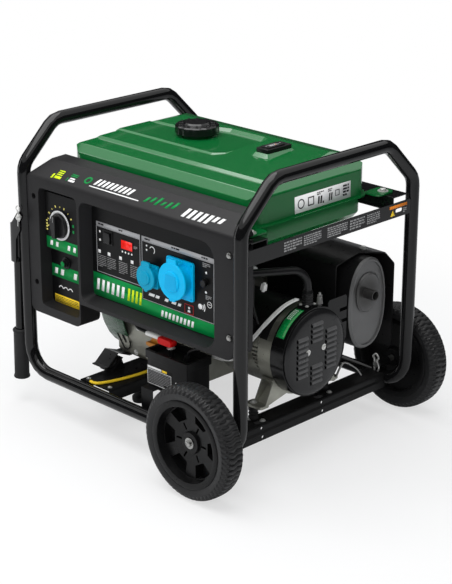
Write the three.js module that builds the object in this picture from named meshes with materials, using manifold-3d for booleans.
// Portable open-frame generator: tubular frame on two wheels, petrol engine and alternator on one
// shaft, stepped fuel tank on top and a moulded control housing along the front.
// Millimetres. +X towards the wheeled end, -Y towards the control side, +Z up.
import * as THREE from 'three';
import { mergeVertices } from 'three/addons/utils/BufferGeometryUtils.js';
import Module from 'manifold-3d';

// ---------------------------------------------------------------- driving dimensions
const GAP = 0.3; // clearance kept between neighbouring pieces
const CENTRE_X = 2.9; // moves the whole machine so that its box is centred on the origin

const TUBE = 16; // outer radius of the frame tube
const HOOP_X = 355; // each hoop stands this far from the middle
const SIDE_Y = 280; // front and rear uprights of a hoop
const RAIL_Z = 96; // centre line of the bottom rails
const TOP_Z = 700; // centre line of the carrying bars
const SHOULDER_Z = 607; // where an upright leans in towards the carrying bar
const SHOULDER_IN = 95; // how far it leans in
const RAIL_BEND = 65;
const SHOULDER_BEND = 45;

const WHEEL_X = 281;
const WHEEL_R = 130;
const WHEEL_Y = 348; // middle plane of a wheel
const TYRE_HALF = 30;
const RIM_R = 97;
const AXLE_R = 7.5;

const SHAFT_Y = -28; // crankshaft and alternator axis
const SHAFT_Z = 263;
const BELL_R = 104; // alternator body radius
const GLAND_Z = 370; // flat on the end bell that carries the cable gland

const SHEET = 3; // pressed steel
const SEAM_Z = 576.3; // underside of the tank flange
const TANK_HALF = 303;
const TANK_FRONT = -183;
const TANK_REAR = 189;

const PANEL_Y = -286; // front plane of the control housing
const PLATE_Y = -256; // sunk instrument plates
const PANEL_HALF = HOOP_X - TUBE - GAP;

const PIVOT_Z = 483; // lift handle hinge on the left uprights
const HANDLE_OFF = 30; // handle tube stands this far off the hinge
const HANDLE_LEAN = THREE.MathUtils.degToRad(1.6);

// ---------------------------------------------------------------- finishes
const finish = (color, roughness, metalness) => new THREE.MeshStandardMaterial({ color, roughness, metalness });
const FRAME_PAINT = finish(0x1a1b1d, 0.35, 0.3);
const BLACK_SHEET = finish(0x141416, 0.4, 0.4);
const TANK_GREEN = finish(0x12702f, 0.25, 0.2);
const SHROUD_GREEN = finish(0x2f5a43, 0.4, 0.2);
const PANEL_PLASTIC = finish(0x2b2a2d, 0.75, 0.0);
const BLACK_PLASTIC = finish(0x161618, 0.5, 0.0);
const SOCKET_BLUE = finish(0x0fa6e6, 0.4, 0.0);
const BOOT_RED = finish(0xb81a1c, 0.5, 0.0);
const RUBBER = finish(0x1c1c1c, 0.9, 0.0);
const TYRE_RUBBER = finish(0x202123, 0.85, 0.0);
const ALUMINIUM = finish(0x8d8f80, 0.5, 0.8);
const STEEL = finish(0xb8bcc0, 0.3, 0.95);
const MUFFLER_GREY = finish(0x4a4b4e, 0.45, 0.6);
const ORANGE_PLASTIC = finish(0xc47a12, 0.5, 0.0);

// ---------------------------------------------------------------- shape tools
const wasm = await Module();
wasm.setup();

function solidOf(geometry) {
  const bare = geometry.clone();
  bare.deleteAttribute('normal');
  bare.deleteAttribute('uv');
  const merged = mergeVertices(bare, 1e-4);
  return new wasm.Manifold(
    new wasm.Mesh({
      numProp: 3,
      vertProperties: merged.attributes.position.array,
      triVerts: new Uint32Array(merged.index.array),
    }),
  );
}

function geometryOf(solid) {
  const mesh = solid.getMesh();
  const geometry = new THREE.BufferGeometry();
  geometry.setAttribute('position', new THREE.BufferAttribute(mesh.vertProperties, 3));
  geometry.setIndex(new THREE.BufferAttribute(mesh.triVerts, 1));
  return geometry;
}

const joined = (first, ...rest) => geometryOf(
  rest.reduce((sum, next) => sum.add(solidOf(next)), solidOf(first)));
const cutBy = (body, ...tools) => geometryOf(
  tools.reduce((left, tool) => left.subtract(solidOf(tool)), solidOf(body)));
const common = (first, ...rest) => geometryOf(
  rest.reduce((kept, next) => kept.intersect(solidOf(next)), solidOf(first)));

// A closed outline; a corner is [u, v] or [u, v, fillet radius].
function outline(corners, steps = 4) {
  const points = [];
  corners.forEach(([u, v, radius = 0], i) => {
    const corner = new THREE.Vector2(u, v);
    if (radius === 0) {
      points.push(corner);
      return;
    }
    const [u0, v0] = corners.at(i - 1);
    const [u1, v1] = corners[(i + 1) % corners.length];
    const back = new THREE.Vector2(u0, v0).sub(corner).normalize();
    const on = new THREE.Vector2(u1, v1).sub(corner).normalize();
    const half = Math.acos(THREE.MathUtils.clamp(back.dot(on), -1, 1)) / 2;
    const centre = back.clone().add(on).setLength(radius / Math.sin(half)).add(corner);
    const reach = radius / Math.tan(half);
    const start = back.multiplyScalar(reach).add(corner).sub(centre).angle();
    const end = on.multiplyScalar(reach).add(corner).sub(centre).angle();
    const turn = THREE.MathUtils.euclideanModulo(end - start + Math.PI, 2 * Math.PI) - Math.PI;
    for (let k = 0; k <= steps; k++) {
      const angle = start + (turn * k) / steps;
      points.push(new THREE.Vector2(Math.cos(angle), Math.sin(angle)).multiplyScalar(radius).add(centre));
    }
  });
  return points;
}

const rectangle = (u0, u1, v0, v1, radius = 0, steps = 4) =>
  outline([[u0, v0, radius], [u1, v0, radius], [u1, v1, radius], [u0, v1, radius]], steps);

function circle(radius, sides, u = 0, v = 0) {
  const points = [];
  for (let k = 0; k < sides; k++) {
    const angle = (2 * Math.PI * k) / sides;
    points.push(new THREE.Vector2(u + radius * Math.cos(angle), v + radius * Math.sin(angle)));
  }
  return points;
}

// Turns a solid drawn in (u, v) and raised along w so that w runs along the named axis.
// (u, v) are (Y, Z) for x, (X, Z) for y with w running from the far side to the near one, (X, Y) for z.
const TURN = {
  x: new THREE.Matrix4().makeBasis(
    new THREE.Vector3(0, 1, 0),
    new THREE.Vector3(0, 0, 1),
    new THREE.Vector3(1, 0, 0),
  ),
  y: new THREE.Matrix4().makeBasis(
    new THREE.Vector3(1, 0, 0),
    new THREE.Vector3(0, 0, 1),
    new THREE.Vector3(0, -1, 0),
  ),
  z: new THREE.Matrix4(),
};

// Extrudes an outline from one level to another along an axis, with holes if wanted.
function prism(axis, points, from, to, holes = []) {
  const shape = new THREE.Shape(points);
  shape.holes = holes.map((hole) => new THREE.Path(hole));
  const geometry = new THREE.ExtrudeGeometry(shape, { depth: to - from, bevelEnabled: false });
  geometry.translate(0, 0, axis === 'y' ? -to : from);
  return geometry.applyMatrix4(TURN[axis]);
}

// The same with both rims chamfered outwards: the end faces keep the outline, the middle grows.
function flared(axis, points, from, to, growth, height) {
  const geometry = new THREE.ExtrudeGeometry(new THREE.Shape(points), {
    depth: to - from - 2 * height,
    bevelSize: growth,
    bevelThickness: height,
    bevelSegments: 1,
  });
  geometry.translate(0, 0, (axis === 'y' ? -to : from) + height);
  return geometry.applyMatrix4(TURN[axis]);
}

function box(x0, x1, y0, y1, z0, z1) {
  const geometry = new THREE.BoxGeometry(x1 - x0, y1 - y0, z1 - z0);
  return geometry.translate((x0 + x1) / 2, (y0 + y1) / 2, (z0 + z1) / 2);
}

const rod = (axis, radius, from, to, u = 0, v = 0, sides = 16) =>
  prism(axis, circle(radius, sides, u, v), from, to);

// Turns a profile of [radius, distance along the axis] round that axis, closing it where it is a ring.
function revolved(axis, profile, sides) {
  const closed = profile[0][0] === 0 ? profile : [...profile, profile[0]];
  const points = closed.map(([radius, along]) => new THREE.Vector2(radius, along));
  const geometry = new THREE.LatheGeometry(points, sides);
  if (axis === 'x') geometry.rotateZ(-Math.PI / 2);
  if (axis === 'z') geometry.rotateX(Math.PI / 2);
  return geometry;
}

// A path of straight runs joined by arcs. A corner is [x, y, z] or [x, y, z, bend radius], and the
// stations lie only where the direction changes.
class BentPath extends THREE.Curve {
  constructor(corners, arcStep) {
    super();
    this.stations = [];
    this.tangents = [];
    const points = corners.map(([x, y, z]) => new THREE.Vector3(x, y, z));
    points.forEach((corner, i) => {
      const radius = corners[i][3];
      if (!radius) {
        const ahead = points[i + 1] ?? corner;
        const behind = points[i + 1] ? corner : points[i - 1];
        this.addStation(corner, ahead.clone().sub(behind).normalize());
        return;
      }
      const back = points[i - 1].clone().sub(corner).normalize();
      const on = points[i + 1].clone().sub(corner).normalize();
      const half = back.angleTo(on) / 2;
      const centre = back.clone().add(on).setLength(radius / Math.sin(half)).add(corner);
      const travel = back.clone().negate();
      const spoke = back.multiplyScalar(radius / Math.tan(half)).add(corner).sub(centre).normalize();
      const turn = Math.PI - 2 * half;
      const steps = Math.max(2, Math.round(turn / arcStep));
      for (let k = 0; k <= steps; k++) {
        const angle = (turn * k) / steps;
        const arm = spoke.clone().multiplyScalar(Math.cos(angle)).addScaledVector(travel, Math.sin(angle));
        const heading = travel.clone().multiplyScalar(Math.cos(angle)).addScaledVector(spoke, -Math.sin(angle));
        this.addStation(arm.multiplyScalar(radius).add(centre), heading);
      }
    });
  }

  addStation(point, heading) {
    this.stations.push(point);
    this.tangents.push(heading);
  }

  getSpacedPoints() {
    return this.stations;
  }

  getTangentAt(u, target = new THREE.Vector3()) {
    return target.copy(this.tangents[Math.round(u * (this.stations.length - 1))]);
  }
}

const ARC_STEP = Math.PI / 10;

function bentTube(corners, radius, sides = 14, arcStep = ARC_STEP) {
  const path = new BentPath(corners, arcStep);
  return new THREE.ExtrudeGeometry(new THREE.Shape(circle(radius, sides)), {
    steps: path.stations.length - 1,
    extrudePath: path,
    bevelEnabled: false,
  });
}

// ---------------------------------------------------------------- assembly
const generator = new THREE.Group();
generator.position.x = CENTRE_X;

function place(name, geometry, material, parent = generator) {
  const mesh = new THREE.Mesh(geometry, material);
  mesh.name = name;
  parent.add(mesh);
  return mesh;
}

const SIDES = [['front', -1], ['rear', 1]];
const ENDS = [['left', -1], ['right', 1]];

// ---- frame: each hoop is one bent tube, from the middle of the front rail over the top to the rear one
function frameHoop(end) {
  const x = end * HOOP_X;
  const shoulder = SIDE_Y - SHOULDER_IN;
  return bentTube([
    [end * (GAP / 2), -SIDE_Y, RAIL_Z],
    [x, -SIDE_Y, RAIL_Z, RAIL_BEND],
    [x, -SIDE_Y, SHOULDER_Z, SHOULDER_BEND],
    [x, -shoulder, TOP_Z, SHOULDER_BEND],
    [x, shoulder, TOP_Z, SHOULDER_BEND],
    [x, SIDE_Y, SHOULDER_Z, SHOULDER_BEND],
    [x, SIDE_Y, RAIL_Z, RAIL_BEND],
    [end * (GAP / 2), SIDE_Y, RAIL_Z],
  ], TUBE);
}

const HINGE_BORE = 4.4;
const hingeBores = SIDES.map(([, side]) =>
  rod('y', HINGE_BORE, side * SIDE_Y - 20, side * SIDE_Y + 20, -HOOP_X, PIVOT_Z, 12));
place('frame_hoop_right', frameHoop(1), FRAME_PAINT);
place('frame_hoop_left', cutBy(frameHoop(-1), ...hingeBores), FRAME_PAINT);

// ---- bottom cross members, pressed channels welded between the rails
const RAIL_INNER = SIDE_Y - TUBE - GAP;
const MID_X0 = -194;
const MID_X1 = -88;
const MID_TOP = 109;
const MID_DEPTH = 30;
const SEAT_X0 = -211;
const SEAT_X1 = -168;

// Each side of the engine rests on a rubber held between two sloping plates, a wing of the cradle above
// and a seat on the channel below, which fall away outwards. A point on the slope is told by how far
// down it lies and how high over the wing.
const SLOPE = THREE.MathUtils.degToRad(40);
const SLOPE_RUN = 42;
const CREST_OUT = 140; // crest of a wing, out from the shaft axis
const CREST_Z = 154;
const SEAT_DROP = 22.6; // from the top of the wing to the top of the seat
const onSlope = (side, down, over) => new THREE.Vector2(
  SHAFT_Y + side * (CREST_OUT + down * Math.cos(SLOPE) + over * Math.sin(SLOPE)),
  CREST_Z - down * Math.sin(SLOPE) + over * Math.cos(SLOPE),
);

function engineSeat(side) {
  const sheet = [
    onSlope(side, -3, -SEAT_DROP), onSlope(side, 44, -SEAT_DROP),
    onSlope(side, 44, -SEAT_DROP - SHEET), onSlope(side, -3, -SEAT_DROP - SHEET),
  ];
  const foot = new THREE.Vector2(SHAFT_Y + side * (CREST_OUT - 24), MID_TOP - 1);
  const web = [onSlope(side, 1, -SEAT_DROP - 1), onSlope(side, 43, -SEAT_DROP - 1), foot];
  return [
    prism('x', sheet, SEAT_X0, SEAT_X1),
    prism('x', web, SEAT_X1 - SHEET, SEAT_X1),
    prism('x', web, MID_X0 + 1, MID_X0 + 1 + SHEET),
  ];
}

const channelSection = (x0, x1, top, depth) => outline([
  [x0, top - depth], [x0 + SHEET, top - depth], [x0 + SHEET, top - SHEET], [x1 - SHEET, top - SHEET],
  [x1 - SHEET, top - depth], [x1, top - depth], [x1, top, 4], [x0, top, 4],
], 2);

place('mid_cross_channel', joined(
  prism('y', channelSection(MID_X0, MID_X1, MID_TOP, MID_DEPTH), -RAIL_INNER, RAIL_INNER),
  ...engineSeat(-1),
  ...engineSeat(1),
), BLACK_SHEET);

// The end member steps outwards halfway down its face; slots on top, round holes in the face.
const END_X0 = 252;
const END_X1 = 303;
const END_TOP = 114;
const END_STEP = 3.5;
const END_FOOT = 78;
const endSection = [
  [END_X0, END_FOOT], [END_X0 + SHEET, END_FOOT], [END_X0 + SHEET, END_TOP - SHEET],
  [END_X1 - SHEET, END_TOP - SHEET], [END_X1 - SHEET, RAIL_Z + 1], [END_X1 + END_STEP - SHEET, RAIL_Z - 3],
  [END_X1 + END_STEP - SHEET, END_FOOT], [END_X1 + END_STEP, END_FOOT], [END_X1 + END_STEP, RAIL_Z - 1],
  [END_X1, RAIL_Z + 3], [END_X1, END_TOP, 4], [END_X0, END_TOP, 4],
];
const endHoles = [-150, 50].flatMap((y) => [
  prism('z', rectangle(278, 294, y - 13, y + 13, 7, 3), END_TOP - 8, END_TOP + 8),
  rod('x', 3.5, END_X1 - 8, END_X1 + 8, y - 8, 106, 8),
  rod('x', 3.5, END_X1 - 8, END_X1 + 8, y - 8, 86, 8),
]);
place('end_cross_channel', cutBy(
  prism('y', outline(endSection, 2), -RAIL_INNER, RAIL_INNER), ...endHoles), BLACK_SHEET);

// ---- upper frame: a face plate between the uprights at each end carries the two tank rails
const PLATE_X = 363;
const PLATE_LOW = 527;
const PLATE_HIGH = 562;
const RAIL_TOP = SEAM_Z - GAP;
const RAIL_OUT = 255;
const RAIL_IN = 205;
for (const [end, way] of ENDS) {
  const faces = [way * PLATE_X, way * (PLATE_X - 2.5)].sort((a, b) => a - b);
  const slot = prism(
    'x', rectangle(212, 236, PLATE_LOW + 11, PLATE_LOW + 20, 4, 2), faces[0] - 5, faces[1] + 5);
  const plate = prism('x', rectangle(-265, 265, PLATE_LOW, PLATE_HIGH, 3, 1), ...faces);
  place(`end_plate_${end}`, cutBy(plate, slot), FRAME_PAINT);
}
for (const [name, side] of SIDES) {
  const angle = [
    [RAIL_IN, 542], [RAIL_IN + SHEET, 542], [RAIL_IN + SHEET, RAIL_TOP - SHEET],
    [RAIL_OUT, RAIL_TOP - SHEET], [RAIL_OUT, RAIL_TOP], [RAIL_IN, RAIL_TOP],
  ].map(([y, z]) => new THREE.Vector2(side * y, z));
  const reach = PLATE_X - 2.5 - GAP;
  place(`tank_rail_${name}`, prism('x', angle, -reach, reach), FRAME_PAINT);
}

// ---- support stand: hat-shaped bracket under the mid channel on two rubber feet
const STAND_X = -179;
const FOOT_Y = 88;
const STAND_TOP = MID_TOP - MID_DEPTH - GAP;
const FOOT_TOP = 33;
const hat = [[110, FOOT_TOP], [66, FOOT_TOP], [56, STAND_TOP - SHEET], [-56, STAND_TOP - SHEET],
  [-66, FOOT_TOP], [-110, FOOT_TOP], [-110, FOOT_TOP + SHEET], [-68, FOOT_TOP + SHEET], [-58, STAND_TOP],
  [58, STAND_TOP], [68, FOOT_TOP + SHEET], [110, FOOT_TOP + SHEET]];
place('support_stand', prism('x', outline(hat), STAND_X - 22, STAND_X + 22), BLACK_SHEET);
for (const [name, side] of SIDES) {
  const foot = revolved('z', [
    [0, 0], [17, 0], [19, 4], [19, 14], [13, 19], [13, FOOT_TOP - GAP], [0, FOOT_TOP - GAP],
  ], 18);
  place(`foot_pad_${name}`, foot.translate(STAND_X, side * FOOT_Y, 0), RUBBER);
}

// ---- wheels on stub axles carried by bushes welded to the rails
const BORE_GAP = 0.4;
const BUSH_IN = 262;
const BUSH_OUT = 298;
const WHEEL_SIDES = 28;
const SPOKES = 6;
const HUB_FACE = 12; // outer face of the hub boss, from the middle plane of the wheel
const HUB_BACK = -9; // floor of the pockets between the spokes

function wheelHub() {
  const rim = revolved('y', [
    [RIM_R - GAP, 24 + GAP], [RIM_R + 4, 28.2], [RIM_R + 1, 29.5], [87, 28], [83, 10], [26, 6],
    [24, HUB_FACE],
    [AXLE_R + BORE_GAP, HUB_FACE], [AXLE_R + BORE_GAP, -28], [22, -28], [26, HUB_BACK - 3],
    [83, HUB_BACK - 3],
    [87, -28],
    [RIM_R + 1, -29.5], [RIM_R + 4, -28.2], [RIM_R - GAP, -24 - GAP],
  ], WHEEL_SIDES);
  // Between the broad spokes a deep pocket lies near the rim; two slits go right through.
  const openings = Array.from({ length: SPOKES }, (_, k) => {
    const middle = (2 * Math.PI * k) / SPOKES;
    const at = (radius, spread) => new THREE.Vector2(
      radius * Math.cos(middle + spread), radius * Math.sin(middle + spread));
    const pocket = [at(81, -0.33), at(82, 0), at(81, 0.33), at(52, 0.27), at(52, -0.27)];
    const rootSlit = [at(46, -0.05), at(46, 0.05), at(30, 0.08), at(30, -0.08)];
    const edgeSlit = [at(76, 0.26), at(76, 0.32), at(57, 0.27), at(57, 0.2)];
    return [
      prism('y', pocket, HUB_BACK, 14),
      prism('y', rootSlit, HUB_BACK - 6, 14),
      prism('y', edgeSlit, HUB_BACK - 6, 14),
    ];
  });
  return cutBy(rim, ...openings.flat());
}

function wheelTyre() {
  return revolved('y', [
    [RIM_R, -24], [RIM_R + 6, -28], [113, -TYRE_HALF], [125, -25], [WHEEL_R, -9],
    [WHEEL_R, 9], [125, 25], [113, TYRE_HALF], [RIM_R + 6, 28], [RIM_R, 24],
  ], WHEEL_SIDES);
}

for (const [name, side] of SIDES) {
  const wheel = new THREE.Group();
  wheel.position.set(WHEEL_X, side * WHEEL_Y, WHEEL_R);
  wheel.rotation.z = side > 0 ? 0 : Math.PI;
  generator.add(wheel);
  place(`wheel_tyre_${name}`, wheelTyre(), TYRE_RUBBER, wheel);
  place(`wheel_hub_${name}`, wheelHub(), BLACK_PLASTIC, wheel);
  place(`axle_pin_${name}`, revolved('y', [
    [0, 258 - WHEEL_Y], [AXLE_R, 258 - WHEEL_Y], [AXLE_R, HUB_FACE + GAP], [13, HUB_FACE + GAP],
    [13, HUB_FACE + 2],
    [7, HUB_FACE + 2], [7, HUB_FACE + 6], [5.5, HUB_FACE + 7], [0, HUB_FACE + 7],
  ], 16), STEEL, wheel);

  const [bushStart, bushEnd] = [side * BUSH_IN, side * BUSH_OUT].sort((a, b) => a - b);
  const bush = rod('y', 13, bushStart, bushEnd, WHEEL_X, WHEEL_R, 20);
  const lug = box(WHEEL_X - 20, WHEEL_X + 8, side * SIDE_Y - 11, side * SIDE_Y + 11, RAIL_Z, WHEEL_R - 8);
  const tube = rod('x', TUBE + GAP, 200, 330, side * SIDE_Y, RAIL_Z, 32);
  const bore = rod('y', AXLE_R + BORE_GAP, side * SIDE_Y - 25, side * SIDE_Y + 25, WHEEL_X, WHEEL_R, 16);
  place(`axle_bracket_${name}`, cutBy(joined(bush, lug), tube, bore), FRAME_PAINT);
}

// ---- lift handles: a forked channel straddles the upright, the tube hangs from it with a sleeve grip
const FORK_IN = TUBE + 0.5;
const FORK_OUT = FORK_IN + 2.5;
const FORK_LOW = -120;
const FORK_WEB_TOP = -17;
const HANDLE_R = 12.5;
const GRIP_LOW = -425;
const GRIP_HIGH = -296;

function handleArm() {
  const axis = -HANDLE_OFF;
  const web = (radius) => {
    const points = [new THREE.Vector2(0, -radius), new THREE.Vector2(0, radius)];
    for (let k = 0; k <= 8; k++) {
      const angle = Math.PI / 2 + (Math.PI * k) / 8;
      points.push(new THREE.Vector2(axis + radius * Math.cos(angle), radius * Math.sin(angle)));
    }
    return points;
  };
  const shell = cutBy(prism('z', web(FORK_OUT), FORK_LOW, 20), prism('z', web(FORK_IN), FORK_LOW - 1, 21));
  // Side view of the fork: narrow beside the tube, then a round ear on the hinge pin.
  const side = [
    [axis, FORK_WEB_TOP - 2], [axis - FORK_OUT - 1, FORK_WEB_TOP - 12], [axis - FORK_OUT - 1, FORK_LOW - 1],
    [-TUBE - 2, FORK_LOW - 1], [-TUBE, -60], [13, -12]];
  for (let k = 0; k <= 6; k++) {
    const angle = -0.3 + (Math.PI * 0.85 * k) / 6;
    side.push([13 * Math.cos(angle), 13 * Math.sin(angle)]);
  }
  const fork = common(shell, prism('y', side.map(([x, z]) => new THREE.Vector2(x, z)), -25, 25));
  const tube = rod('z', HANDLE_R, GRIP_LOW + 5, -30, axis, 0, 16);
  const ferrules = [FORK_LOW, -46].map((z) => common(
    rod('z', FORK_IN + 0.5, z, z + 10, axis, 0, 16), box(axis - 30, -TUBE - 2, -30, 30, z, z + 10)));
  const pinBore = rod('y', HINGE_BORE, -30, 30, 0, 0, 12);
  return cutBy(joined(fork, tube, ...ferrules), pinBore);
}

function handleGrip() {
  const inner = HANDLE_R + GAP;
  return revolved('z', [
    [0, GRIP_LOW], [20, GRIP_LOW], [20, GRIP_LOW + 4], [18.2, GRIP_LOW + 8], [18.2, GRIP_HIGH - 10],
    [20, GRIP_HIGH - 7], [20, GRIP_HIGH - 3], [17, GRIP_HIGH], [inner, GRIP_HIGH],
    [inner, GRIP_LOW + 5 - GAP],
    [0, GRIP_LOW + 5 - GAP],
  ], 20).translate(-HANDLE_OFF, 0, 0);
}

for (const [name, side] of SIDES) {
  const handle = new THREE.Group();
  handle.position.set(-HOOP_X, side * SIDE_Y, PIVOT_Z);
  generator.add(handle);
  const swung = new THREE.Group();
  swung.rotation.y = HANDLE_LEAN;
  handle.add(swung);
  place(`handle_arm_${name}`, handleArm(), FRAME_PAINT, swung);
  place(`handle_grip_${name}`, handleGrip(), RUBBER, swung);
  const head = 28;
  const pin = revolved('y', [
    [0, -23], [HINGE_BORE - 0.3, -23], [HINGE_BORE - 0.3, 21], [8, 21], [8, 24], [4, head], [0, head],
  ], 12);
  place(`handle_pin_${name}`, pin.rotateZ(side > 0 ? 0 : Math.PI), STEEL, handle);
}

// ---- fuel tank: pressed upper shell with three steps along the front, a flat filler field and a gauge
// boss, bolted by four ears of its seam flange to the tank rails
const TANK_MID = (TANK_FRONT + TANK_REAR) / 2;
const FIELD_Z = 667.5;
const CAP_X = -98;
const CAP_Y = 36;

const planOf = (halfLength, front, rear, radius) => rectangle(-halfLength, halfLength, front, rear, radius, 4);

function fuelTank() {
  const section = outline([
    [TANK_FRONT, SEAM_Z], [TANK_FRONT + 1.5, 634, 4], [-166, 652.5, 3], [-118, 655.5], [-112, 661],
    [125, 675],
    [160, 669, 8], [186, 641, 10], [TANK_REAR, SEAM_Z],
  ], 2);
  const upper = common(
    prism('x', section, -TANK_HALF, TANK_HALF),
    prism('y', outline([
      [-TANK_HALF, SEAM_Z - 1], [TANK_HALF, SEAM_Z - 1], [TANK_HALF - 2, 640, 6], [266, 668, 10], [180, 690],
      [-180, 690], [-266, 668, 10], [2 - TANK_HALF, 640, 6],
    ], 2), -200, 200),
    prism('z', planOf(TANK_HALF, TANK_FRONT, TANK_REAR, 42), SEAM_Z, 700),
  );
  const bottom = planOf(TANK_HALF - 16, TANK_FRONT + 16, TANK_REAR - 16, 28);
  const lower = flared('z', bottom, 526, SEAM_Z + 20, 10, 12);
  const flange = prism('z', planOf(TANK_HALF + 9, TANK_FRONT - 9, TANK_REAR + 9, 50), SEAM_Z, SEAM_Z + SHEET);
  const ears = ENDS.flatMap(([, end]) => SIDES.map(([, side]) => {
    const ys = [TANK_MID + side * 178, TANK_MID + side * 238].sort((a, b) => a - b);
    const xs = [end * 290, end * 336].sort((a, b) => a - b);
    return prism('z', rectangle(...xs, ...ys, 13, 3), SEAM_Z, SEAM_Z + SHEET);
  }));
  // The filler field is level: it stands proud of the sloping top in front and is sunk into it behind.
  const field = [
    [-330, -50], [40, -50, 10], [60, -28, 12], [56, 106, 12],
    [-60, 106, 20], [-120, 92], [-190, 50], [-330, 44],
  ];
  const pad = flared('z', outline(field, 2), 640, FIELD_Z, 7, 4);
  const inField = common(pad, prism('y', outline([
    [-285, 630], [282, 630], [282, 656], [262, 680], [-262, 680], [-285, 656],
  ]), -200, 200));
  const sink = flared('z', outline(field, 2), FIELD_Z, 720, 14, 11);
  const neck = rod('z', 30, FIELD_Z - 4, FIELD_Z + 5, CAP_X, CAP_Y, 24);
  const boss = flared('z', rectangle(120, 160, 4, 88, 4, 2), 650, 676, 10, 8);
  const bolts = ears.map((_, i) => rod('z', 5, SEAM_Z - 5, SEAM_Z + 9,
    (i < 2 ? -1 : 1) * 318, TANK_MID + (i % 2 ? 1 : -1) * 216, 10));
  return cutBy(joined(cutBy(joined(upper, inField), sink), lower, flange, neck, boss, ...ears), ...bolts);
}

place('fuel_tank', fuelTank(), TANK_GREEN);

const CAP_LOBES = 12;
const capRim = (radius, depth) => Array.from({ length: CAP_LOBES * 4 }, (_, k) => {
  const angle = (2 * Math.PI * k) / (CAP_LOBES * 4);
  const reach = radius - depth * (k % 4 === 0 ? 1 : 0);
  return new THREE.Vector2(reach * Math.cos(angle), reach * Math.sin(angle));
});
const capBase = FIELD_Z + 5 + GAP;
const filler = new THREE.Group();
filler.position.set(CAP_X, CAP_Y, capBase);
generator.add(filler);
place('filler_cap', joined(
  flared('z', capRim(49, 3), 0, 22, 3, 3),
  revolved('z', [[0, 15], [33, 15], [33, 23], [29, 27], [0, 28]], 20),
), BLACK_PLASTIC, filler);

place('fuel_gauge', joined(
  prism('z', rectangle(121, 159, 6, 86, 4, 2), 676.3, 685),
  prism('z', rectangle(127, 153, 14, 70, 3, 1), 676.5, 688),
), BLACK_PLASTIC);

// ---- control housing: moulded front with a sunk instrument field and a deeper fuel-selector column
const HOOD_Z = 590;
const HOUSING_LOW = 312;
const COLUMN_LOW = 253;
const COLUMN_X = -158;
const HOUSING_BACK = -226;
const WALL = 4;
const mainField = outline([[-140, 336, 8], [268, 336, 20], [268, 549, 24], [-140, 549, 8]], 4);
const columnField = rectangle(-292, -168, 281, 560, 8, 2);

function controlHousing() {
  const front = outline([
    [-PANEL_HALF, COLUMN_LOW, 18], [COLUMN_X, COLUMN_LOW, 18], [COLUMN_X, HOUSING_LOW],
    [PANEL_HALF, HOUSING_LOW, 22],
    [PANEL_HALF, HOOD_Z - 4], [305, 630], [-305, 630], [-PANEL_HALF, HOOD_Z - 4],
  ], 4);
  const inside = outline([
    [-PANEL_HALF + WALL, COLUMN_LOW + WALL, 14], [COLUMN_X - WALL, COLUMN_LOW + WALL, 14],
    [COLUMN_X - WALL, HOUSING_LOW + WALL], [PANEL_HALF - WALL, HOUSING_LOW + WALL, 18],
    [PANEL_HALF - WALL, 586],
    [301, 626], [-301, 626], [-PANEL_HALF + WALL, 586],
  ], 4);
  const bonnet = outline([
    [PANEL_Y, COLUMN_LOW - 5], [PANEL_Y, HOOD_Z, 12], [-230, 622, 10], [-190, 624.5], [-190, 620.5],
    [HOUSING_BACK, 619],
    [HOUSING_BACK, COLUMN_LOW - 5],
  ], 3);
  const hollow = [[PLATE_Y, COLUMN_LOW - 5], [PLATE_Y, 602], [-232, 616], [-180, 619], [-180, COLUMN_LOW - 5]];
  const shell = cutBy(
    common(prism('x', bonnet, -PANEL_HALF, PANEL_HALF), prism('y', front, -300, -180)),
    common(prism('x', outline(hollow), -PANEL_HALF, PANEL_HALF), prism('y', inside, -300, -170)),
  );
  const fields = [mainField, columnField].map((shape, i) =>
    flared('y', shape, PANEL_Y * 2 - PLATE_Y - 20, PLATE_Y + 8, i ? 6 : 14, 38));
  const screws = [541, 329].map((z) => rod('y', 7, PANEL_Y - 5, PANEL_Y + 12, -315, z, 12));
  const railSlot = box(-400, 400, -RAIL_OUT - 1, -180, RAIL_TOP - SHEET - 1, SEAM_Z + SHEET + 1);
  return cutBy(shell, railSlot, ...fields, ...screws);
}

place('control_housing', controlHousing(), PANEL_PLASTIC);

const PLATE_BACK = PLATE_Y + GAP + SHEET;
const DIAL_X = -237;
const DIAL_Z = 483;
const DIAL_Y = -272;
const BREAKER_X = 225;
const BREAKER_Z = 456;
place('control_plate', prism('y', rectangle(-154, 282, 324, 562, 6, 1), PLATE_Y + GAP, PLATE_BACK, [
  rectangle(-100.5, -77.5, 469.5, 498.5),
  circle(8.4, 16, BREAKER_X, BREAKER_Z),
]), BLACK_PLASTIC);
place('fuel_plate', joined(
  prism('y', rectangle(-306, -163, 270, 572, 6, 1), PLATE_Y + GAP, PLATE_BACK),
  prism('y', rectangle(-290, -170, 418, 556, 4, 1), DIAL_Y, PLATE_BACK),
  prism('y', circle(36, 32, DIAL_X, DIAL_Z), DIAL_Y - 3, PLATE_BACK),
), BLACK_PLASTIC);

const dial = new THREE.Group();
dial.position.set(DIAL_X, DIAL_Y - 3 - GAP, DIAL_Z);
generator.add(dial);
place('selector_dial', joined(
  flared('y', circle(27, 28), -8, 0, 1.5, 1.5),
  prism('y', rectangle(-6, 6, -27, 27, 3, 2), -20, -6),
), BLACK_PLASTIC, dial);

// The rocker tips on a pin behind its bezel; the socket lids are hinged along their upper edge.
const rocker = new THREE.Group();
rocker.position.set(-89, PLATE_Y - 2, 484);
generator.add(rocker);
place('ignition_switch', prism('x', outline([
  [1.5, -12], [1.5, 12], [-5, 13, 2], [-2.5, 0], [-5, -13, 2],
], 2), -10, 10), BLACK_PLASTIC, rocker);

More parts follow.
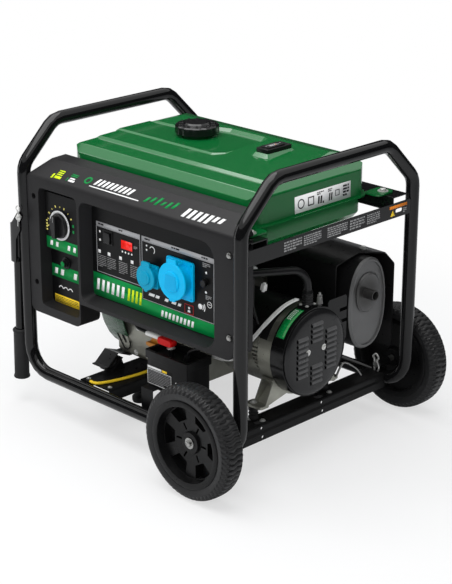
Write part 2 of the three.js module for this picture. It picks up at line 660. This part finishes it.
function socketBody(x, z, half, barrel, depth) {
  const back = PLATE_Y;
  const square = rectangle(x - half, x + half, z - half * 1.06, z + half * 1.06, 5, 3);
  const flange = prism('y', square, back - 6, back);
  const sleeve = rod('y', barrel, back - depth, back - 4, x, z, 22);
  const knuckle = prism(
    'y', rectangle(x - 14, x + 14, z + barrel - 8, z + half, 3, 2), back - depth + 2, back - 4);
  const well = rod('y', barrel - 4, back - depth - 1, back - 8, x, z, 22);
  return cutBy(joined(flange, sleeve, knuckle), well);
}

function socketLid(radius, lug) {
  return joined(
    flared('y', circle(radius, 26), -6, 0, 1.5, 1.5),
    flared('y', circle(radius * 0.55, 16), -9, -2, 1.5, 1.5),
    prism('y', rectangle(-13, 13, radius * 0.7, radius + 9, 3, 2), -5, -0.2),
    prism('y', outline([
      [-lug, -radius - 5, 3], [lug, -radius - 5, 3], [lug + 5, -radius * 0.8], [-lug - 5, -radius * 0.8],
    ], 2), -5, -1),
  );
}

const SOCKETS = [
  { name: 'socket_16a', x: 57, z: 430, half: 25, barrel: 24, depth: 16, lid: 27.5, lug: 4 },
  { name: 'socket_32a', x: 151, z: 447, half: 42, barrel: 38, depth: 24, lid: 41.5, lug: 8 },
];
for (const { name, x, z, half, barrel, depth, lid, lug } of SOCKETS) {
  place(name, socketBody(x, z, half, barrel, depth), SOCKET_BLUE);
  const cover = new THREE.Group();
  cover.position.set(x, PLATE_Y - depth - GAP, z);
  generator.add(cover);
  place(`${name}_lid`, socketLid(lid, lug), SOCKET_BLUE, cover);
}
place('breaker_button', rod('y', 8, PLATE_Y - 9, PLATE_Y + 1, BREAKER_X, BREAKER_Z, 16), BLACK_PLASTIC);

// ---- engine: crankcase on a cradle, cylinder laid over to the rear, cooling shroud on the left
const BLOCK_X0 = -148;
const BLOCK_X1 = 100;
const CYLINDER_TILT = THREE.MathUtils.degToRad(25);
const FILLER_X = -48; // oil filler neck on the front of the crankcase
const FILLER_Y = -144;
const FILLER_Z = 206;
const SHAFT_R = 14;
const CLEAR = 0.5; // running clearance of the shaft

// The sump's front reaches left under the shroud and has a slotted cover plate, which lies aslant.
const SUMP_X0 = -190;
const SUMP_X1 = -70;
const SUMP_Y = -142;
const sump = (out) => outline([
  [out - 100, 140 - out], [-126, 140 - out, 3], [SUMP_Y - out, 156 - out, 6], [SUMP_Y - out, 226 + out, 10],
  [-128, 246 + out, 8], [out - 100, 246 + out],
], 3);
const COVER_PLATE_TILT = THREE.MathUtils.degToRad(38);
const coverPlate = (halfWidth, halfLength) => outline([
  [0, -halfLength, halfWidth / 2], [halfWidth, -halfLength * 0.7, 2], [halfWidth, halfLength * 0.7, 2],
  [0, halfLength, halfWidth / 2], [-halfWidth, halfLength * 0.7, 2], [-halfWidth, -halfLength * 0.7, 2],
], 2).map((point) => point
  .rotateAround(new THREE.Vector2(), COVER_PLATE_TILT).add(new THREE.Vector2(-171, 191)));

place('engine_block', cutBy(joined(
  prism('x', outline([
    [-112, 140, 4], [55, 140, 4], [88, 190, 12], [96, 300, 16], [60, 362, 20], [-70, 366, 30],
    [-134, 320, 26],
    [-138, 232, 20], [-112, 176, 6],
  ], 3), BLOCK_X0, BLOCK_X1 - 12),
  prism('x', sump(0), SUMP_X0, SUMP_X1),
  cutBy(
    prism('y', coverPlate(13, 33), SUMP_Y - 3, SUMP_Y + 1),
    prism('y', coverPlate(3.5, 17), SUMP_Y - 4, SUMP_Y - 0.5),
  ),
  rod('x', 92, BLOCK_X1 - 20, BLOCK_X1, SHAFT_Y, SHAFT_Z, 28),
  rod('y', 13, FILLER_Y, -110, FILLER_X, FILLER_Z, 14),
), rod('x', SHAFT_R + CLEAR, BLOCK_X1 - 40, BLOCK_X1 + 1, SHAFT_Y, SHAFT_Z, 20)), ALUMINIUM);

place('oil_dipstick', joined(
  rod('y', 17, FILLER_Y - 10, FILLER_Y - GAP, FILLER_X, FILLER_Z, 16),
  prism(
    'y', rectangle(FILLER_X - 22, FILLER_X + 22, FILLER_Z - 5, FILLER_Z + 5, 4, 2),
    FILLER_Y - 20, FILLER_Y - 8),
), ORANGE_PLASTIC);

function engineCylinder() {
  const fins = [];
  for (let along = 12; along <= 76; along += 10.5) {
    fins.push(prism('z', rectangle(-72, 44, -56, 56, 12, 1), along, along + 2.5));
  }
  return joined(
    prism('z', rectangle(-60, 32, -42, 42, 16, 1), 0, 88),
    ...fins,
    prism('z', rectangle(-74, 46, -58, 58, 10, 2), 86, 112),
    flared('z', rectangle(-64, 36, -40, 40, 8, 2), 110, 142, 3, 4),
  );
}
const jug = new THREE.Group();
jug.position.set(0, 98, SHAFT_Z + 50);
jug.rotation.x = CYLINDER_TILT - Math.PI / 2;
generator.add(jug);
place('engine_cylinder', engineCylinder(), ALUMINIUM, jug);

// ---- engine cradle: a pressed saddle whose two wings rise to a crest and fall away parallel to the seats
const CRADLE_LOW = 136.7;
const CRADLE_X0 = -213;
const CRADLE_X1 = -166;
const CRADLE_FLAT = 102; // where the flat bottom turns up, out from the shaft axis
const LIP_Z = CREST_Z - SLOPE_RUN * Math.sin(SLOPE);
const saddlePoint = (side, out, z) => new THREE.Vector2(SHAFT_Y + side * out, z);
const wingTop = (side) => [
  saddlePoint(side, 181, LIP_Z), onSlope(side, SLOPE_RUN, 0), onSlope(side, 0, 0),
  saddlePoint(side, CRADLE_FLAT, CRADLE_LOW + SHEET),
];
const wingUnder = (side) => [
  saddlePoint(side, CRADLE_FLAT, CRADLE_LOW), onSlope(side, -1, -SHEET),
  onSlope(side, SLOPE_RUN, -SHEET), saddlePoint(side, 181, LIP_Z - SHEET),
];
place('engine_cradle', prism('x', [
  ...wingTop(-1), ...wingTop(1).reverse(), ...wingUnder(1).reverse(), ...wingUnder(-1),
], CRADLE_X0, CRADLE_X1), BLACK_SHEET);

const MOUNT_SPAN = SEAT_DROP - SHEET - 2 * GAP;
for (const [name, side] of SIDES) {
  const rubber = revolved('z', [
    [0, 0], [18, 0], [18, 3], [15, 6], [15, MOUNT_SPAN - 6], [18, MOUNT_SPAN - 3], [18, MOUNT_SPAN],
    [0, MOUNT_SPAN],
  ], 18);
  rubber.rotateX(-side * SLOPE);
  const seat = onSlope(side, SLOPE_RUN / 2, GAP - SEAT_DROP);
  rubber.translate((CRADLE_X0 + CRADLE_X1) / 2, seat.x, seat.y);
  place(`engine_mount_${name}`, rubber, RUBBER);
}

// ---- cooling shroud over the flywheel with the starter housing on its end
const SHROUD_X0 = -253;
const SHROUD_R = 138;
place('fan_shroud', cutBy(common(
  joined(
    revolved('x', [
      [0, SHROUD_X0], [100, SHROUD_X0], [128, SHROUD_X0 + 12], [SHROUD_R, SHROUD_X0 + 30],
      [SHROUD_R, BLOCK_X0 - 2],
      [SHROUD_R - SHEET, BLOCK_X0 - 2], [SHROUD_R - SHEET, SHROUD_X0 + 31], [126, SHROUD_X0 + 15],
      [99, SHROUD_X0 + SHEET],
      [0, SHROUD_X0 + SHEET],
    ], 32).translate(0, SHAFT_Y, SHAFT_Z),
    revolved('x', [[0, -288], [70, -288], [84, -278], [88, SHROUD_X0 + 1], [0, SHROUD_X0 + 1]], 28)
      .translate(0, SHAFT_Y, SHAFT_Z),
  ),
  box(-400, 0, -400, 400, CRADLE_LOW + SHEET + 3, 500),
), prism('x', sump(5), SUMP_X0 - 3, 0)), SHROUD_GREEN);

// ---- alternator: stator shell, end bell with the bearing and the muffler bracket, rotor on one shaft
const STATOR_X1 = 300;
const BELL_X1 = 338;
const LAND_X = 262; // the stator ends in a machined land as wide as the bell
const GLAND_X = 316;
const aboutShaft = (profile, sides) => revolved('x', profile, sides).translate(0, SHAFT_Y, SHAFT_Z);

// Air leaves by short slots low on both sides of the stator.
const VENT_TURN = THREE.MathUtils.degToRad(5.5);
const vents = [-1, 1].flatMap((side) => Array.from({ length: 7 }, (_, k) => {
  const slot = new THREE.Vector3(0, side, 0);
  slot.applyAxisAngle(new THREE.Vector3(1, 0, 0), -side * (k - 1.5) * VENT_TURN).multiplyScalar(100);
  return rod('x', 2.6, 236 + 3 * k, 272 + 3 * k, SHAFT_Y + slot.y, SHAFT_Z + slot.z, 8);
}));
place('alternator_stator', cutBy(aboutShaft([
  [61, BLOCK_X1 + GAP], [95, BLOCK_X1 + GAP], [95, 128], [100, 132], [100, LAND_X - 4], [BELL_R, LAND_X],
  [BELL_R, STATOR_X1], [61, STATOR_X1],
], 32), ...vents), ALUMINIUM);

const bellShell = aboutShaft([
  [92, STATOR_X1 + GAP], [BELL_R, STATOR_X1 + GAP], [BELL_R, BELL_X1], [SHAFT_R + CLEAR, BELL_X1],
  [SHAFT_R + CLEAR, BELL_X1 - 8], [92, BELL_X1 - 4],
], 32);
const bracketSlots = [309, 337].map((z) => box(BELL_X1 - 20, BELL_X1 + 5, 60, 110, z - 4, z + 4));
place('end_bell', joined(
  bellShell,
  cutBy(prism('x', rectangle(20, 84, 262, 370, 5, 1), BELL_X1 - 2 * SHEET, BELL_X1 - SHEET), ...bracketSlots),
  box(GLAND_X - 15, GLAND_X + 15, SHAFT_Y - 17, SHAFT_Y + 17, 352, GLAND_Z),
), BLACK_SHEET);

place('rotor_shaft', aboutShaft([
  [0, BLOCK_X1 - 38], [SHAFT_R, BLOCK_X1 - 38], [SHAFT_R, 150], [58, 150], [58, 286], [SHAFT_R, 286],
  [SHAFT_R, 303],
  [30, 303], [88, 307], [88, 321], [30, 321], [SHAFT_R, 324], [SHAFT_R, BELL_X1 - 2], [0, BELL_X1 - 2],
], 24), STEEL);

// The louvres of the dished end cover stand in three columns: each is a short hood raised over a slit that
// opens downwards and at one end, and the innermost ones give way to the bolts.
const COVER_X0 = BELL_X1 + GAP;
const COVER_X1 = 346;
const LOUVRE_PITCH = 12.5;
const LOUVRE_HALF = 4;
const LOUVRE_RISE = 3.6;
const hoods = [];
const slits = [];
for (let row = -5.5; row <= 5.5; row++) {
  for (const column of [-1, 0, 1]) {
    const z = SHAFT_Z + row * LOUVRE_PITCH;
    const half = column === 0 ? 17 : 16;
    const y = SHAFT_Y + column * 47;
    const reach = Math.hypot(Math.abs(column) * 47 + half, Math.abs(row) * LOUVRE_PITCH + LOUVRE_HALF);
    if (reach > 80 || (column === 0 && Math.abs(row) < 2)) continue;
    const hood = [
      [COVER_X1 - 1, z - LOUVRE_HALF], [COVER_X1 + LOUVRE_RISE, z - LOUVRE_HALF],
      [COVER_X1 + LOUVRE_RISE, z + LOUVRE_HALF - 2.5], [COVER_X1, z + LOUVRE_HALF],
      [COVER_X1 - 1, z + LOUVRE_HALF],
    ].map(([x, up]) => new THREE.Vector2(x, up));
    hoods.push(prism('y', hood, y - half, y + half));
    slits.push(box(
      COVER_X1 - SHEET - 1, COVER_X1 + LOUVRE_RISE - 1.6,
      y - half - 3, y + half - 2, z - LOUVRE_HALF - 2.2, z + 1,
    ));
  }
}
place('end_cover', cutBy(joined(aboutShaft([
  [0, COVER_X1 - SHEET], [84, COVER_X1 - SHEET], [92, 343 - SHEET], [95, COVER_X0], [100, COVER_X0],
  [100, 340.5],
  [96, 343.6], [86, COVER_X1], [0, COVER_X1],
], 36), ...hoods), ...slits), BLACK_SHEET);

// ---- alternator foot: a cast saddle under the stator land with two hollow legs, each two gussets and a
// web with an ear at the toe, standing on rubbers on the end member
const FOOT_X0 = LAND_X + 2;
const TOE_Z = 148;
const SADDLE_R = BELL_R + GAP;
const saddleArc = (radius, from, to, steps) => Array.from({ length: steps + 1 }, (_, k) => {
  const angle = THREE.MathUtils.degToRad(from + ((to - from) * k) / steps);
  return [SHAFT_Y + radius * Math.cos(angle), SHAFT_Z + radius * Math.sin(angle)];
});

function alternatorFoot() {
  const saddle = outline([...saddleArc(SADDLE_R, -150, -30, 16), ...saddleArc(SADDLE_R + 5, -30, -150, 16)]);
  const parts = [prism('x', saddle, FOOT_X0, STATOR_X1)];
  for (const side of [-1, 1]) {
    const toe = [SHAFT_Y + side * 118, TOE_Z + 2];
    const across = ([y, z]) => [side < 0 ? y : 2 * SHAFT_Y - y, z];
    const leg = outline([toe, ...saddleArc(SADDLE_R + 2, -114, -148, 5).map(across)]);
    parts.push(prism('x', leg, FOOT_X0, FOOT_X0 + 5), prism('x', leg, STATOR_X1 - 5, STATOR_X1));
    const [heel, brow] = [[-63, -97], [-76, -76]].map(([y, z]) => across([SHAFT_Y + y, SHAFT_Z + z]));
    const low = [SHAFT_Y + side * 104, TOE_Z + 3];
    const web = outline([low, heel, brow, [SHAFT_Y + side * 109, TOE_Z + 5]]);
    parts.push(prism('x', web, FOOT_X0 + 3, STATOR_X1 - 3));
    const ys = [SHAFT_Y + side * 100, SHAFT_Y + side * 132].sort((a, b) => a - b);
    parts.push(prism('z', rectangle(250, STATOR_X1, ...ys, 8, 3), TOE_Z, TOE_Z + 6));
  }
  return joined(...parts);
}

place('alternator_foot', alternatorFoot(), ALUMINIUM);
for (const [name, side] of SIDES) {
  const low = END_TOP + GAP;
  const high = TOE_Z - GAP;
  const rubber = revolved('z', [
    [0, low], [12, low], [12, low + 6], [9, low + 10], [12, low + 14], [9, low + 18], [12, low + 22],
    [12, high], [0, high],
  ], 16);
  place(`alternator_mount_${name}`, rubber.translate(265, SHAFT_Y + side * 118, 0), RUBBER);
}

// ---- exhaust: oval muffler behind the alternator with its pipe from the cylinder head. The end is dished
// inside its rolled rim and has a raised field round the outlet stub.
const MUFFLER_Y = 167.5;
const MUFFLER_Z = 323;
const MUFFLER_FACE = 328;
const oval = (halfWidth, halfHeight, sides = 32, y = MUFFLER_Y, z = MUFFLER_Z) =>
  circle(1, sides).map((point) => {
    const [c, s] = [point.x, point.y].map((part) => Math.sign(part) * Math.abs(part) ** 0.88);
    return new THREE.Vector2(y + halfWidth * c, z + halfHeight * s);
  });
place('muffler', cutBy(
  joined(
    cutBy(
      flared('x', oval(60, 106), 170, MUFFLER_FACE, 4.5, 5),
      prism('x', oval(56, 101), MUFFLER_FACE - 4, MUFFLER_FACE + 1),
    ),
    flared('x', oval(36, 44, 20, MUFFLER_Y, 350), MUFFLER_FACE - 6, MUFFLER_FACE + 2, 4, 4),
    rod('x', 12.5, MUFFLER_FACE - 6, 357, 158, 351, 16),
    rod('x', 14, 47, 175, 165, 335, 14),
    prism('x', rectangle(140, 190, 310, 360, 8, 2), 47, 53),
  ),
  rod('x', 10, MUFFLER_FACE - 16, 360, 158, 351, 16),
), MUFFLER_GREY);

// ---- heat guard: a sheet behind the muffler that folds over its top and hangs down in front of it
const GUARD_Y = 261;
const hood = outline([
  [GUARD_Y, 400], [GUARD_Y, 418.5, 6], [168, 441], [83, 428, 8], [83, 352], [83 + SHEET, 352],
  [83 + SHEET, 425.6, 6],
  [168, 438], [GUARD_Y - SHEET, 416, 4], [GUARD_Y - SHEET, 400],
], 2);
const guardSheet = outline([[20, 190], [326, 190, 8], [326, 398, 6], [300, 416, 6], [20, 416]], 2);
place('muffler_guard', joined(
  prism('y', guardSheet, GUARD_Y - SHEET, GUARD_Y),
  prism('x', hood, 54, 300),
  box(88, 300, 83, 83 + SHEET, 300, 353),
  rod('y', 9, 226, GUARD_Y - 2, 225, 250, 12),
), BLACK_SHEET);

// ---- battery sunk in an open-topped box beside the front rail, with the booted lead to the plus terminal
const BATTERY_X0 = 17;
const BATTERY_X1 = 158;
const BATTERY_FRONT = -248;
const BATTERY_BACK = -168;
const TRAY_Z = 150;
const TRAY_TOP = 241;
const inset = (by, radius) =>
  rectangle(BATTERY_X0 + by, BATTERY_X1 - by, BATTERY_FRONT + by, BATTERY_BACK - by, radius, 2);
place('battery_tray', joined(
  cutBy(
    joined(prism('z', inset(4, 5), TRAY_Z, TRAY_TOP - 17), prism('z', inset(0, 6), TRAY_TOP - 19, TRAY_TOP)),
    prism('z', inset(8, 3), TRAY_Z + 4, TRAY_TOP + 1),
  ),
  box(20, 57, -262, BATTERY_FRONT + 6, TRAY_Z, TRAY_Z + SHEET),
  box(20, 57, -262, -259, RAIL_Z - 14, TRAY_Z + 1),
), BLACK_SHEET);
place('battery', joined(
  prism('z', inset(8 + GAP, 3), TRAY_Z + 4 + GAP, 226),
  prism('z', rectangle(36, 140, -228, -206, 3, 1), 225, 232),
  rod('z', 6, 225, 252, 76, -219, 10),
  rod('z', 6, 225, 240, 130, -219, 10),
), BLACK_PLASTIC);
place('battery_lead', joined(
  bentTube([[-66, -219, 318], [-38, -219, 270, 16], [50, -219, 264]], 4.5, 10, Math.PI / 8),
  rod('x', 6, -4, 38, -219, 266, 12),
  flared('y', rectangle(41, 84, 256, 271, 6, 2), -229, -209, 2, 3),
), BOOT_RED);

// ---- alternator wiring in a conduit from the gland on the end bell to the back of the control plate
const cuff = [[0, 0], [13, 0]];
for (let z = 5; z < 26; z += 6) cuff.push([13, z], [11, z + 1.5], [11, z + 3], [13, z + 4.5]);
place('conduit_hose', joined(
  bentTube([
    [GLAND_X, SHAFT_Y, GLAND_Z + 30], [GLAND_X, SHAFT_Y, 452, 46], [262, -205, 470, 40],
    [262, PLATE_BACK + GAP + 1, 470],
  ], 9, 14, Math.PI / 14),
  revolved('z', [...cuff, [10.5, 34], [0, 34]], 14).translate(GLAND_X, SHAFT_Y, GLAND_Z + GAP),
), BLACK_PLASTIC);

// ---- fuel and air: carburettor on the cylinder head, air cleaner over the shroud
place('carburettor', joined(
  box(-122, -76, 146, 184, 318, 356),
  rod('z', 21, 286, 322, -100, 165, 16),
  rod('z', 16, 350, 380 - GAP, -100, 165, 16),
), ALUMINIUM);
place('air_cleaner', joined(
  flared('z', rectangle(-254, -86, 66, 194, 24, 2), 380, 470, 6, 8),
  prism('z', rectangle(-240, -100, 80, 180, 14, 2), 468, 476),
), BLACK_PLASTIC);

export default generator;
